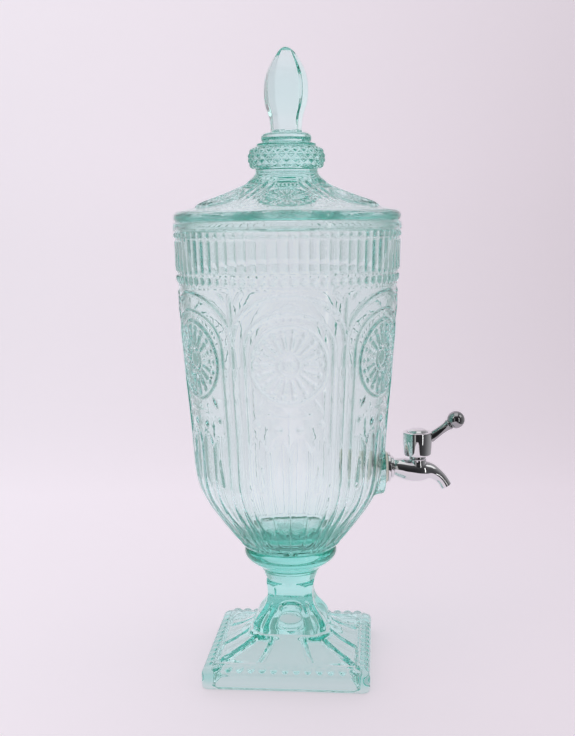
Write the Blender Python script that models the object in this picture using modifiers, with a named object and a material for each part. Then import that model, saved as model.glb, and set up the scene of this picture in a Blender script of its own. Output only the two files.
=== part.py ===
"""Footed pressed-glass dispenser with a lift-off lid and a chromed quarter-turn tap.

Sizes are in millimetres and are converted on the way into Blender. The tank's axis is
the design axis; at the end everything is moved by AXIS_X so that the origin sits under
the middle of the whole bounding box. +Z is up, the tap points to +X, the photo looks
along +Y.
"""
import math

import bmesh
import bpy
from mathutils import Vector

MM = 0.001
AXIS_X = -24.5            # design axis, measured from the middle of the bounding box
ROUND = 40                # sides of the large turned shapes
SMALL = 28                # sides of the tap's turned shapes
GAP = 0.3                 # clearance between neighbouring pieces

# glass
FOOT_TOP = 92.1
BOWL_BASE = FOOT_TOP + GAP
BOWL_TOP = 339.5
LID_BASE = BOWL_TOP + GAP
FOOT_HALF = 61.85
FOOT_CORNER = 6.0
FOOT_TWIST = -5.15        # degrees; the foot was fused slightly turned under the tank
FINIAL_TWIST = 9.0        # degrees; the finial's facets sit slightly turned on the lid
FACET_CUT = 1.19          # distance of a cut corner over distance of a flat, on faceted forms

# (radius, height), outside of the tank from the lip down to the base
BOWL_OUTSIDE = (
    (0.0, BOWL_TOP), (83.2, BOWL_TOP), (84.2, 338.6), (84.6, 336.0), (84.5, 331.0),
    (84.0, 318.0), (83.5, 304.5), (82.6, 295.6), (82.0, 282.0), (80.8, 268.6),
    (80.1, 255.0), (78.9, 241.4), (77.9, 227.6), (76.7, 213.9), (75.8, 204.6),
    (74.8, 193.0), (73.9, 181.4), (73.1, 167.4), (72.1, 154.0), (70.4, 145.0),
    (68.0, 138.6), (63.9, 130.2), (59.9, 123.9), (56.0, 118.6), (52.2, 113.4),
    (48.2, 108.2), (44.2, 102.9), (40.5, 98.7), (37.3, 94.8), (35.2, 93.0),
    (31.0, BOWL_BASE), (0.0, BOWL_BASE),
)
# inside of the tank, used as a cutter that stands out above the lip
BOWL_INSIDE = (
    (0.0, 345.0), (81.8, 345.0), (81.2, BOWL_TOP), (79.8, 338.4), (79.6, 334.0),
    (79.2, 320.0), (78.0, 304.0), (76.6, 282.0), (74.6, 255.0), (72.6, 228.0),
    (70.6, 205.0), (68.8, 185.0), (67.6, 167.0), (66.4, 153.0), (64.0, 143.0),
    (59.5, 133.5), (54.0, 126.0), (48.0, 119.0), (42.0, 113.0), (34.0, 107.4),
    (24.0, 103.4), (14.0, 101.8), (0.0, 101.5),
)
# lid without its finial, from the ring under the finial down to the locating skirt,
# then back up under the dome
LID_PROFILE = (
    (0.0, 403.4), (12.0, 403.4), (17.6, 402.4), (18.3, 401.2), (18.3, 397.2),
    (17.6, 396.2), (19.5, 395.7), (24.5, 393.3), (27.6, 389.5), (28.4, 385.6),
    (27.6, 381.4), (25.0, 377.6), (22.9, 376.0), (23.4, 374.0), (26.0, 371.0),
    (31.0, 367.0), (41.0, 362.4), (51.0, 358.4), (63.0, 354.0), (73.0, 350.2),
    (80.5, 347.2), (83.6, 344.8), (84.1, 342.8), (83.6, 340.8), (82.4, LID_BASE),
    (79.0, LID_BASE), (79.0, 334.2), (78.4, 333.6), (75.6, 333.6), (75.0, 334.2),
    (75.0, 341.0), (62.0, 348.2), (50.0, 352.6), (40.0, 356.6), (30.0, 361.3),
    (22.0, 365.5), (14.0, 368.5), (0.0, 369.5),
)
# faceted forms lofted through sections:
# (height, half side or radius, share of circle, share of square with cut corners)
FINIAL_OUTSIDE = (
    (400.0, 10.4, 0.0, 1.0), (408.0, 10.4, 0.0, 1.0), (413.9, 11.05, 0.0, 1.0),
    (418.3, 12.15, 0.0, 1.0), (422.6, 13.6, 0.0, 1.0), (427.5, 14.5, 0.0, 1.0),
    (433.5, 14.8, 0.0, 1.0), (439.4, 14.5, 0.0, 1.0), (443.7, 13.8, 0.0, 1.0),
    (447.9, 12.5, 0.0, 1.0), (452.1, 10.75, 0.0, 1.0), (456.4, 8.45, 0.0, 1.0),
    (460.6, 5.9, 0.2, 0.8), (463.2, 3.9, 0.6, 0.4), (464.6, 1.6, 1.0, 0.0),
)
FOOT_OUTSIDE = (
    (0.0, 60.6, 0.0, 0.0), (1.2, FOOT_HALF, 0.0, 0.0), (12.4, FOOT_HALF, 0.0, 0.0),
    (13.6, 60.7, 0.0, 0.0), (14.6, 57.5, 0.02, 0.0), (17.6, 49.5, 0.15, 0.0),
    (21.4, 41.5, 0.45, 0.0), (25.4, 34.4, 0.8, 0.2), (29.0, 28.6, 0.0, 1.0),
    (29.8, 27.8, 0.0, 1.0), (33.5, 27.8, 0.0, 1.0), (38.0, 26.0, 0.0, 1.0),
    (42.8, 22.9, 0.0, 1.0), (47.8, 20.3, 0.0, 1.0), (51.6, 18.8, 0.0, 1.0),
    (54.6, 18.1, 0.2, 0.8), (57.4, 17.8, 0.6, 0.4), (60.0, 18.1, 1.0, 0.0),
    (62.4, 18.3, 1.0, 0.0),
    (67.2, 19.5, 1.0, 0.0), (72.1, 21.4, 1.0, 0.0), (76.0, 23.8, 1.0, 0.0),
    (79.0, 27.8, 1.0, 0.0), (82.0, 32.2, 1.0, 0.0), (86.0, 34.8, 1.0, 0.0),
    (89.0, 35.0, 1.0, 0.0), (91.2, 34.0, 1.0, 0.0), (FOOT_TOP, 32.0, 1.0, 0.0),
)
# hollow under the foot, from its mouth up to its roof
FOOT_HOLLOW = (
    (0.0, 54.2, 0.0, 0.0), (5.4, 53.8, 0.0, 0.0), (8.0, 52.4, 0.0, 0.0),
    (9.4, 49.6, 0.03, 0.0), (11.6, 44.6, 0.15, 0.0), (15.4, 37.0, 0.4, 0.0),
    (19.4, 29.5, 0.7, 0.0), (24.0, 21.5, 1.0, 0.0), (32.0, 14.5, 1.0, 0.0),
    (40.0, 11.5, 1.0, 0.0),
    (45.0, 7.5, 1.0, 0.0), (47.3, 3.0, 1.0, 0.0),
)
# section angles within one quarter turn, denser at the corner
LOFT_ANGLES = (0, 12, 24, 34, 40, 42.5, 45, 47.5, 50, 56, 66, 78)

# tap mounting, along X at the height of the shank
TAP_Z = 152.1
BOSS_FACE_X = 72.4
BOSS_RADIUS = 20.4
SPOT_FACE = (72.0, 13.0)  # flat seat for the outer washer, cut into the boss
SEAT_X = 67.2             # flat inside face for the inner washer
SEAT_RADIUS = 13.5
SHANK_RADIUS = 8.0
SHANK_HOLE = 8.5
SHANK_END_X = 53.0
FLANGE_X = 74.6
OUTER_WASHER = (72.3, 74.3, 12.1)
INNER_WASHER = (64.6, 66.9, 12.0)
BACKING_WASHER = (62.9, 64.3, 11.0)
LOCK_NUT = (56.3, 62.6, 12.7)

# barrel and spout: (x, z, radius) along the flow
BARREL_PATH = (
    (79.6, 152.1, 6.3), (82.0, 151.9, 7.0), (86.0, 151.1, 7.8), (91.0, 149.9, 8.4),
    (97.5, 149.3, 8.5), (103.0, 149.3, 7.7), (107.5, 148.7, 6.2), (111.5, 146.6, 5.0),
    (115.2, 143.6, 4.4), (117.8, 140.4, 4.2), (119.9, 136.8, 4.25),
)
SPOUT_BORE = (
    (98.5, 151.6, 2.6), (103.0, 150.8, 2.6), (107.6, 149.2, 2.6), (111.6, 146.7, 2.5),
    (115.2, 143.6, 2.6), (117.8, 140.4, 2.9), (121.1, 134.7, 2.9),
)

# valve and handle, about the vertical axis VALVE_X
VALVE_X = 97.7
CHAMBER_RADIUS = 5.5
CHAMBER_FLOOR = 144.0
NECK_TOP = 158.6
PLUG_RADIUS = 5.42
PORT_Z = 151.8
HUB_BASE = 161.4
HUB_TOP = 179.4
LEVER_TILT = 35.6         # degrees above horizontal
LEVER_ROOT = (108.8, 175.36)
LEVER_LENGTH = 22.25      # hub face to ball centre
BALL_RADIUS = 6.7


def clear_scene():
    for obj in list(bpy.data.objects):
        bpy.data.objects.remove(obj, do_unlink=True)


def collection(name):
    made = bpy.data.collections.new(name)
    bpy.context.scene.collection.children.link(made)
    return made


def material(name, colour, metallic=0.0, roughness=0.4, transmission=0.0):
    made = bpy.data.materials.new(name)
    made.use_nodes = True
    shader = made.node_tree.nodes["Principled BSDF"]
    shader.inputs["Base Color"].default_value = (*colour, 1.0)
    shader.inputs["Metallic"].default_value = metallic
    shader.inputs["Roughness"].default_value = roughness
    shader.inputs["Transmission Weight"].default_value = transmission
    made.diffuse_color = (*colour, 1.0)
    return made


def put(name, data, slot, place=(0.0, 0.0, 0.0), turn=(0.0, 0.0, 0.0)):
    """Link a piece, or a cutter when slot is None."""
    obj = bpy.data.objects.new(name, data)
    obj.location = Vector(place) * MM
    obj.rotation_euler = [math.radians(a) for a in turn]
    if slot is None:
        CUTTERS.objects.link(obj)
        obj.hide_render = True
        obj.display_type = "WIRE"
    else:
        PIECES.objects.link(obj)
        data.materials.append(slot)
    return obj


def turned(name, profile, slot, steps=SMALL, place=(0.0, 0.0, 0.0),
           turn=(0.0, 0.0, 0.0), phase=0.0):
    """Solid of revolution from a profile that runs down its outer side.

    phase turns the seam about the axis, so facets of crossing forms do not coincide.
    """
    mesh = bpy.data.meshes.new(name)
    c = math.cos(math.radians(phase)) * MM
    s = math.sin(math.radians(phase)) * MM
    points = [(r * c, r * s, z * MM) for r, z in profile]
    closed = profile[0] == profile[-1]
    if closed:
        points.pop()
    edges = [(i, i + 1) for i in range(len(points) - 1)]
    if closed:
        edges.append((len(points) - 1, 0))
    mesh.from_pydata(points, edges, [])
    obj = put(name, mesh, slot, place, turn)
    spin = obj.modifiers.new("turn", "SCREW")
    spin.steps = steps
    spin.render_steps = steps
    spin.use_merge_vertices = True
    spin.merge_threshold = 0.00001
    return obj


def ring(name, low, high, inner, outer, slot, steps=SMALL, chamfer=0.3, **where):
    """Flat or tall ring with chamfered outer edges."""
    profile = (
        (inner, high), (outer - chamfer, high), (outer, high - chamfer),
        (outer, low + chamfer), (outer - chamfer, low), (inner, low), (inner, high),
    )
    return turned(name, profile, slot, steps, **where)


def rod(name, radius, low, high, slot=None, steps=SMALL, **where):
    """Plain cylinder."""
    return turned(name, ((0.0, high), (radius, high), (radius, low), (0.0, low)),
                  slot, steps, **where)


def box(name, size, centre, slot=None):
    mesh = bpy.data.meshes.new(name)
    form = bmesh.new()
    bmesh.ops.create_cube(form, size=1.0)
    bmesh.ops.scale(form, vec=Vector(size) * MM, verts=form.verts)
    form.to_mesh(mesh)
    form.free()
    return put(name, mesh, slot, centre)


def pipe(name, path, slot=None, sides=6):
    """Solid swept along a path in the XZ plane with a radius at each point."""
    curve = bpy.data.curves.new(name + "_path", "CURVE")
    curve.dimensions = "3D"
    curve.bevel_depth = MM
    curve.bevel_resolution = sides
    curve.use_fill_caps = True
    line = curve.splines.new("POLY")
    line.points.add(len(path) - 1)
    for point, (x, z, radius) in zip(line.points, path):
        point.co = (x * MM, 0.0, z * MM, 1.0)
        point.radius = radius
    swept = bpy.data.objects.new(name + "_path", curve)
    bpy.context.scene.collection.objects.link(swept)
    bpy.context.view_layer.update()
    mesh = bpy.data.meshes.new_from_object(swept)
    mesh.name = name
    bpy.data.objects.remove(swept, do_unlink=True)
    form = bmesh.new()
    form.from_mesh(mesh)
    bmesh.ops.remove_doubles(form, verts=form.verts, dist=0.000001)
    bmesh.ops.recalc_face_normals(form, faces=form.faces)
    form.to_mesh(mesh)
    form.free()
    return put(name, mesh, slot)


def combine(obj, *tools, operation="DIFFERENCE"):
    for tool in tools:
        mod = obj.modifiers.new(tool.name, "BOOLEAN")
        mod.operation = operation
        mod.solver = "EXACT"
        mod.object = tool


def section(angle, size, circle, facets):
    """Radius at an angle, blending a rounded square, a circle and a cut-corner square."""
    c = abs(math.cos(angle))
    s = abs(math.sin(angle))
    corner = FOOT_CORNER * size / FOOT_HALF
    flat = size - corner
    if s * size <= flat * c:
        square = size / c
    elif c * size <= flat * s:
        square = size / s
    else:
        along = flat * (c + s)
        square = along + math.sqrt(along * along - 2 * flat * flat + corner * corner)
    cut = size * FACET_CUT * math.sqrt(2.0) / (c + s)
    faceted = min(size / max(c, s), cut)
    return square + (size - square) * circle + (faceted - square) * facets


def lofted(name, sections, slot, turn=(0.0, 0.0, 0.0)):
    """Closed body lofted through sections, capped at the first and the last."""
    angles = [math.radians(q * 90 + a) for q in range(4) for a in LOFT_ANGLES]
    count = len(angles)
    form = bmesh.new()
    rows = []
    for height, size, circle, facets in sections:
        row = []
        for angle in angles:
            r = section(angle, size, circle, facets)
            row.append(form.verts.new(
                (r * math.cos(angle) * MM, r * math.sin(angle) * MM, height * MM)))
        rows.append(row)
    for upper, lower in zip(rows, rows[1:]):
        for i in range(count):
            j = (i + 1) % count
            form.faces.new((upper[i], lower[i], lower[j], upper[j]))
    form.faces.new(rows[0])
    form.faces.new(list(reversed(rows[-1])))
    bmesh.ops.recalc_face_normals(form, faces=form.faces)
    mesh = bpy.data.meshes.new(name)
    form.to_mesh(mesh)
    form.free()
    return put(name, mesh, slot, turn=turn)


def build_glass():
    bowl = turned("glass_bowl", BOWL_OUTSIDE, GLASS, ROUND)
    along_x = {"place": (0.0, 0.0, TAP_Z), "turn": (0.0, 90.0, 0.0)}
    boss = turned("boss_pad", (
        (0.0, BOSS_FACE_X), (BOSS_RADIUS - 3.0, BOSS_FACE_X),
        (BOSS_RADIUS - 0.9, BOSS_FACE_X - 0.9), (BOSS_RADIUS, BOSS_FACE_X - 3.0),
        (BOSS_RADIUS, 45.0), (0.0, 45.0)), None, 36, **along_x)
    cavity = turned("tank_cavity", BOWL_INSIDE, None, ROUND)
    hole = rod("tap_hole", SHANK_HOLE, 40.0, 85.0, **along_x)
    spot = rod("spot_face", SPOT_FACE[1], SPOT_FACE[0], 85.0, steps=36, **along_x)
    seat = rod("washer_seat", SEAT_RADIUS, 45.0, SEAT_X, **along_x)
    combine(bowl, boss, operation="UNION")
    combine(bowl, spot, cavity, seat, hole)

    up_and_over = tuple(reversed(FOOT_OUTSIDE)) + FOOT_HOLLOW
    lofted("pedestal_foot", up_and_over, GLASS, (0.0, 0.0, FOOT_TWIST))

    lid = turned("lid", LID_PROFILE, GLASS, ROUND)
    finial = lofted("finial", FINIAL_OUTSIDE, None, (0.0, 0.0, FINIAL_TWIST))
    combine(lid, finial, operation="UNION")


def build_mounting():
    along_x = {"place": (0.0, 0.0, TAP_Z), "turn": (0.0, 90.0, 0.0)}
    clear = SHANK_RADIUS + GAP
    ring("outer_washer", OUTER_WASHER[0], OUTER_WASHER[1], clear, OUTER_WASHER[2],
         SILICONE, chamfer=0.5, **along_x)
    ring("inner_washer", INNER_WASHER[0], INNER_WASHER[1], clear, INNER_WASHER[2],
         SILICONE, chamfer=0.5, **along_x)
    ring("backing_washer", BACKING_WASHER[0], BACKING_WASHER[1], clear,
         BACKING_WASHER[2], STEEL, chamfer=0.15, **along_x)
    nut = rod("lock_nut", LOCK_NUT[2], LOCK_NUT[0], LOCK_NUT[1], PLASTIC, 6, **along_x)
    chamfer = turned("nut_chamfer", (
        (0.0, LOCK_NUT[1] + 1.0), (LOCK_NUT[2] + 0.6, LOCK_NUT[1] + 1.0),
        (LOCK_NUT[2] + 0.6, LOCK_NUT[0] + 1.2), (LOCK_NUT[2] - 1.4, LOCK_NUT[0] - 0.2),
        (0.0, LOCK_NUT[0] - 0.2)), None, 24, **along_x)
    combine(nut, chamfer, operation="INTERSECT")
    combine(nut, rod("nut_bore", clear, LOCK_NUT[0] - 2.0, LOCK_NUT[1] + 2.0, **along_x))


def build_tap_body():
    along_x = {"place": (0.0, 0.0, TAP_Z), "turn": (0.0, 90.0, 0.0)}
    body = turned("tap_body", (
        (0.0, 81.0), (6.2, 81.0), (6.2, 79.3), (8.1, 79.3), (8.4, 79.0), (8.4, 77.6),
        (8.1, 77.3), (7.5, 77.3), (7.5, 76.7), (11.0, 76.7), (11.4, 76.3),
        (11.4, FLANGE_X + 0.4), (11.0, FLANGE_X), (SHANK_RADIUS, FLANGE_X),
        (SHANK_RADIUS, SHANK_END_X + 0.8), (SHANK_RADIUS - 0.8, SHANK_END_X),
        (0.0, SHANK_END_X)), CHROME, phase=3.0, **along_x)
    at_valve = {"place": (VALVE_X, 0.0, 0.0)}
    barrel = pipe("barrel_form", BARREL_PATH, sides=6)
    neck = turned("neck_form", (
        (0.0, NECK_TOP), (6.6, NECK_TOP), (6.9, NECK_TOP - 0.3), (6.9, 155.5),
        (7.6, 153.5), (7.6, 149.0), (0.0, 149.0)), None, phase=5.0, **at_valve)
    combine(body, barrel, neck, operation="UNION")
    chamber = rod("chamber_bore", CHAMBER_RADIUS, CHAMBER_FLOOR, 170.0,
                  phase=2.0, **at_valve)
    inlet = rod("inlet_bore", 3.4, 45.0, VALVE_X - 0.5, steps=20, phase=4.0, **along_x)
    outlet = pipe("outlet_bore", SPOUT_BORE, sides=4)
    combine(body, chamber, inlet, outlet)

    ring("gland_nut", NECK_TOP + GAP, HUB_BASE - GAP, 3.3, 6.6, CHROME,
         chamfer=0.25, **at_valve)


def build_valve():
    at_valve = {"place": (VALVE_X, 0.0, 0.0)}
    groove = 4.2
    plug = turned("valve_plug", (
        (0.0, 161.1), (3.0, 161.1), (3.0, 158.5), (PLUG_RADIUS, 158.5),
        (PLUG_RADIUS, 157.4), (groove, 157.4), (groove, 155.8), (PLUG_RADIUS, 155.8),
        (PLUG_RADIUS, 147.0), (groove, 147.0), (groove, 145.4), (PLUG_RADIUS, 145.4),
        (PLUG_RADIUS, 144.3), (0.0, 144.3)), CHROME, **at_valve)
    drive = box("square_drive", (4.2, 4.2, 11.6), (VALVE_X, 0.0, 165.8))
    combine(plug, drive, operation="UNION")
    port = rod("plug_port", 2.8, -8.0, 8.0, steps=20,
               place=(VALVE_X, 0.0, PORT_Z), turn=(90.0, 0.0, 0.0))
    tapped = rod("screw_hole", 1.5, 163.0, 175.0, steps=16, **at_valve)
    combine(plug, port, tapped)

    for name, height in (("plug_o_ring_lower", 146.2), ("plug_o_ring_upper", 156.6)):
        loop = [(4.86 + 0.56 * math.sin(math.pi * k / 4),
                 height + 0.6 * math.cos(math.pi * k / 4)) for k in range(8)]
        turned(name, loop + loop[:1], RUBBER, 24, **at_valve)


def build_handle():
    at_valve = {"place": (VALVE_X, 0.0, 0.0)}
    on_lever = {"place": (LEVER_ROOT[0], 0.0, LEVER_ROOT[1]),
                "turn": (0.0, 90.0 - LEVER_TILT, 0.0)}
    hub = turned("handle_hub", (
        (0.0, HUB_TOP), (10.7, HUB_TOP), (11.2, 178.9), (11.1, 170.0), (10.6, 162.2),
        (10.2, HUB_BASE), (0.0, HUB_BASE)), CHROME, 32, phase=3.1, **at_valve)
    combine(
        hub,
        box("square_socket", (4.8, 4.8, 14.0), (VALVE_X, 0.0, 164.9)),
        turned("hub_recess", (
            (0.0, 182.0), (8.0, 182.0), (8.0, 177.0), (5.2, 177.0), (5.2, 173.6),
            (1.8, 173.6), (1.8, 168.0), (0.0, 168.0)), None, 24, **at_valve),
        rod("lever_socket", 2.5, -4.3, 4.0, steps=16, phase=7.0, **on_lever),
    )

    arm = turned("lever_arm", (
        (0.0, 16.8), (3.8, 16.8), (4.2, 16.4), (4.2, 15.2), (3.7, 14.7), (3.3, 12.0),
        (3.2, 9.0), (3.35, 5.0), (3.7, 1.5), (3.8, -3.0), (0.0, -3.0)),
        CHROME, 24, **on_lever)
    clear_hub = rod("hub_clearance", 11.45, 150.0, 190.0, steps=32, **at_valve)
    combine(arm, clear_hub)
    seat = turned("ball_seat", [
        (BALL_RADIUS * 1.05 * math.sin(math.pi * i / 12),
         LEVER_LENGTH + BALL_RADIUS * 1.05 * math.cos(math.pi * i / 12))
        for i in range(13)], None, 24, **on_lever)
    combine(arm, seat)
    studs = rod("arm_studs", 1.5, -0.5, 18.9, steps=16, **on_lever)
    root = rod("arm_root", 2.2, -4.0, 3.0, steps=16, **on_lever)
    combine(arm, studs, root, operation="UNION")

    ball = turned("lever_ball", [
        (BALL_RADIUS * math.sin(math.pi * i / 14),
         LEVER_LENGTH + BALL_RADIUS * math.cos(math.pi * i / 14))
        for i in range(15)], CHROME, 24, **on_lever)
    combine(ball, rod("ball_socket", 1.8, 10.0, 19.5, steps=16, **on_lever))

    turned("hub_cap", (
        (0.0, 181.9), (6.2, 181.8), (7.3, 181.3), (7.7, 180.6), (7.7, 177.3),
        (0.0, 177.3)), CHROME, **at_valve)
    screw = turned("hub_screw", (
        (0.0, 176.3), (1.6, 176.2), (2.6, 175.6), (2.9, 174.9), (2.9, 173.9),
        (1.2, 173.9), (1.2, 164.6), (0.8, 164.2), (0.0, 164.2)), STEEL, 20, **at_valve)
    combine(screw, box("screw_slot", (7.0, 0.8, 1.6), (VALVE_X, 0.0, 176.2)))


def centre_on_bounding_box():
    """Move the design so that the origin is under the middle of its bounding box."""
    for obj in bpy.data.objects:
        obj.location.x += AXIS_X * MM


clear_scene()
PIECES = collection("glass_dispenser")
CUTTERS = collection("cutters")
GLASS = material("aqua_glass", (0.74, 0.90, 0.88), 0.0, 0.05, 1.0)
CHROME = material("chrome", (0.86, 0.87, 0.88), 1.0, 0.08)
STEEL = material("steel", (0.66, 0.66, 0.67), 1.0, 0.3)
SILICONE = material("silicone", (0.80, 0.77, 0.70), 0.0, 0.5)
RUBBER = material("black_rubber", (0.03, 0.03, 0.03), 0.0, 0.6)
PLASTIC = material("white_plastic", (0.86, 0.86, 0.84), 0.0, 0.4)
build_glass()
build_mounting()
build_tap_body()
build_valve()
build_handle()
centre_on_bounding_box()
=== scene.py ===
"""Looks for the footed pressed-glass dispenser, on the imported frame.

Sizes are in millimetres from the jar's axis and the floor, and become metres when a mesh
is made. Angles are measured round the jar's axis from the front (-Y) towards the tap (+X).
"""

import math

import bpy
import numpy as np
from mathutils import Matrix, Vector


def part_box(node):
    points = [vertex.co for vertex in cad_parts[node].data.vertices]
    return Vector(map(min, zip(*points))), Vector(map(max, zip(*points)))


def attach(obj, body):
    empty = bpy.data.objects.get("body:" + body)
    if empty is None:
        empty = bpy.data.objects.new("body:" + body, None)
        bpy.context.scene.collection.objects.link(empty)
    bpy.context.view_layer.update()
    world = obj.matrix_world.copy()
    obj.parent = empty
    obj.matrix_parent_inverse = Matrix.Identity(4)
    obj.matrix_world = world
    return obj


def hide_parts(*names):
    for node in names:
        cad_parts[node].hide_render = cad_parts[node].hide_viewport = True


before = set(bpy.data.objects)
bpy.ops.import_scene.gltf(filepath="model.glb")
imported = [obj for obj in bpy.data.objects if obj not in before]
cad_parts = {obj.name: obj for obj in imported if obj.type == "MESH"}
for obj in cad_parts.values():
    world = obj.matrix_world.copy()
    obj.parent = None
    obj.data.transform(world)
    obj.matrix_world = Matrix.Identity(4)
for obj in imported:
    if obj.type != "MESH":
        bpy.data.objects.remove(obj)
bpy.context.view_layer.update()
MM = 0.001
LID_LOW, LID_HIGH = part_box("lid")
AXIS_X = (LID_LOW[0] + LID_HIGH[0]) / 2 / MM

TAP_Z = 152.1
VALVE_X = 97.7
LEVER_TILT = 35.6
LEVER_ROOT = (108.8, 175.36)
LEVER_LENGTH = 22.25
BALL_RADIUS = 6.7
FOOT_TWIST = -5.15
FINIAL_TWIST = 9.0
COUNT = 720               # samples round the glass


# ---------------------------------------------------------------- small maths

def step(low, high, x):
    """Smooth rise from 0 at low to 1 at high."""
    t = np.clip((x - low) / (high - low), 0.0, 1.0)
    return t * t * (3 - 2 * t)


def bump(distance, half_width):
    """Rounded ridge or bead across a distance."""
    t = np.clip(np.abs(distance) / half_width, 0.0, 1.0)
    return np.sqrt(1 - t * t)


def soft(distance, half_width):
    """Softer ridge with a flared foot."""
    t = np.clip(np.abs(distance) / half_width, 0.0, 1.0)
    return (1 - t * t) ** 2


def trace(points, spacing):
    """Smooth curve through (radius, height) points; a repeated point is a corner."""
    runs = [[points[0]]]
    for p in points[1:]:
        if p == runs[-1][-1]:
            runs.append([p])
        else:
            runs[-1].append(p)
    out = []
    for run in runs:
        if len(run) < 2:
            continue
        p = np.array(run, float)
        ext = np.vstack([2 * p[0] - p[1], p, 2 * p[-1] - p[-2]])
        for i in range(1, len(ext) - 2):
            p0, p1, p2, p3 = ext[i - 1], ext[i], ext[i + 1], ext[i + 2]
            d0 = math.sqrt(np.linalg.norm(p1 - p0)) + 1e-9
            d1 = math.sqrt(np.linalg.norm(p2 - p1)) + 1e-9
            d2 = math.sqrt(np.linalg.norm(p3 - p2)) + 1e-9
            m1 = (p1 - p0) / d0 - (p2 - p0) / (d0 + d1) + (p2 - p1) / d1
            m2 = (p2 - p1) / d1 - (p3 - p1) / (d1 + d2) + (p3 - p2) / d2
            if len(run) == 2:
                m1 = m2 = (p2 - p1) / d1
            m1, m2 = m1 * d1, m2 * d1
            n = max(1, int(round(np.linalg.norm(p2 - p1) / spacing)))
            for k in range(n):
                t = k / n
                out.append((2 * t**3 - 3 * t**2 + 1) * p1 + (t**3 - 2 * t**2 + t) * m1
                           + (3 * t**2 - 2 * t**3) * p2 + (t**3 - t**2) * m2)
        if run is runs[-1]:
            out.append(p[-1])
    return np.array(out)


def through(points, x):
    """Smooth function through (x, y) points with x rising."""
    xs = np.array([p[0] for p in points], float)
    ys = np.array([p[1] for p in points], float)
    slope = np.gradient(ys, xs)
    i = np.clip(np.searchsorted(xs, x) - 1, 0, len(xs) - 2)
    d = xs[i + 1] - xs[i]
    t = np.clip((x - xs[i]) / d, 0.0, 1.0)
    return ((2 * t**3 - 3 * t**2 + 1) * ys[i] + (t**3 - 2 * t**2 + t) * d * slope[i]
            + (3 * t**2 - 2 * t**3) * ys[i + 1] + (t**3 - t**2) * d * slope[i + 1])


# ---------------------------------------------------------------- mesh making

def finish_piece(obj, body, node):
    """Puts a piece on its body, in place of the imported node."""
    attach(obj, body)
    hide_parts(node)


def closed_grid(name, rows, start, end):
    """Closed mesh from rings of points in millimetres, with a pole at each end.

    The first ring is the one next to the upper pole, and rings run anticlockwise seen
    from above, so that faces look outwards.
    """
    count = rows.shape[1]
    total = rows.shape[0]
    verts = np.vstack([rows.reshape(-1, 3), start, end]) * MM
    verts[:, 0] += AXIS_X * MM
    i = np.arange(total - 1)[:, None] * count
    j = np.arange(count)[None, :]
    k = (j + 1) % count
    quads = np.stack([i + j, i + count + j, i + count + k, i + k], -1).reshape(-1, 4)
    first, last = total * count, total * count + 1
    j = np.arange(count)
    k = (j + 1) % count
    top = np.stack([np.full(count, first), j, k], -1)
    low = (total - 1) * count
    bottom = np.stack([low + j, np.full(count, last), low + k], -1)
    mesh = bpy.data.meshes.new(name)
    mesh.from_pydata(verts.tolist(), [], quads.tolist() + top.tolist() + bottom.tolist())
    mesh.polygons.foreach_set("use_smooth", np.ones(len(mesh.polygons), bool))
    mesh.update()
    return mesh


def add(name, mesh, material):
    """Object from a mesh, with one material or none."""
    obj = bpy.data.objects.new(name, mesh)
    bpy.context.scene.collection.objects.link(obj)
    if material is not None:
        mesh.materials.clear()
        mesh.materials.append(material)
    return obj


def ring_angles(count):
    """Angles of the points on a ring."""
    return np.arange(count) * 2 * np.pi / count


def lathe_rows(profile, count):
    """Rings of points for a plain turned form, axis up."""
    a = ring_angles(count)
    r = profile[:, 0][:, None]
    z = np.repeat(profile[:, 1][:, None], count, 1)
    return np.stack([r * np.cos(a), r * np.sin(a), z], -1)


def turned(name, points, material, count=96, spacing=0.4, place=(0, 0, 0), tilt=0.0):
    """Solid of revolution whose points run from the top pole down the outside.

    tilt turns its axis from up towards +X, in degrees; place is its foot in millimetres.
    """
    profile = trace(points, spacing)
    rows = lathe_rows(profile[1:-1], count)
    start = np.array([[0, 0, profile[0][1]]])
    end = np.array([[0, 0, profile[-1][1]]])
    turn = Matrix.Rotation(math.radians(tilt), 3, "Y")
    spin = np.array(turn)
    shift = np.array(place, float)
    rows = rows @ spin.T + shift
    start = start @ spin.T + shift
    end = end @ spin.T + shift
    return add(name, closed_grid(name, rows, start, end), material)


def hoop(name, points, material, count=96, spacing=0.3, place=(0, 0, 0), tilt=0.0):
    """Ring of revolution from a closed section running down its outer side."""
    profile = trace(list(points) + [points[0]], spacing)[:-1]
    rows = lathe_rows(profile, count) @ np.array(
        Matrix.Rotation(math.radians(tilt), 3, "Y")).T + np.array(place, float)
    total, count = rows.shape[:2]
    verts = rows.reshape(-1, 3) * MM
    verts[:, 0] += AXIS_X * MM
    i = np.arange(total)[:, None]
    n = (i + 1) % total
    j = np.arange(count)[None, :]
    k = (j + 1) % count
    quads = np.stack([i * count + j, n * count + j, n * count + k, i * count + k], -1)
    mesh = bpy.data.meshes.new(name)
    mesh.from_pydata(verts.tolist(), [], quads.reshape(-1, 4).tolist())
    mesh.polygons.foreach_set("use_smooth", np.ones(len(mesh.polygons), bool))
    return add(name, mesh, material)


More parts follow.
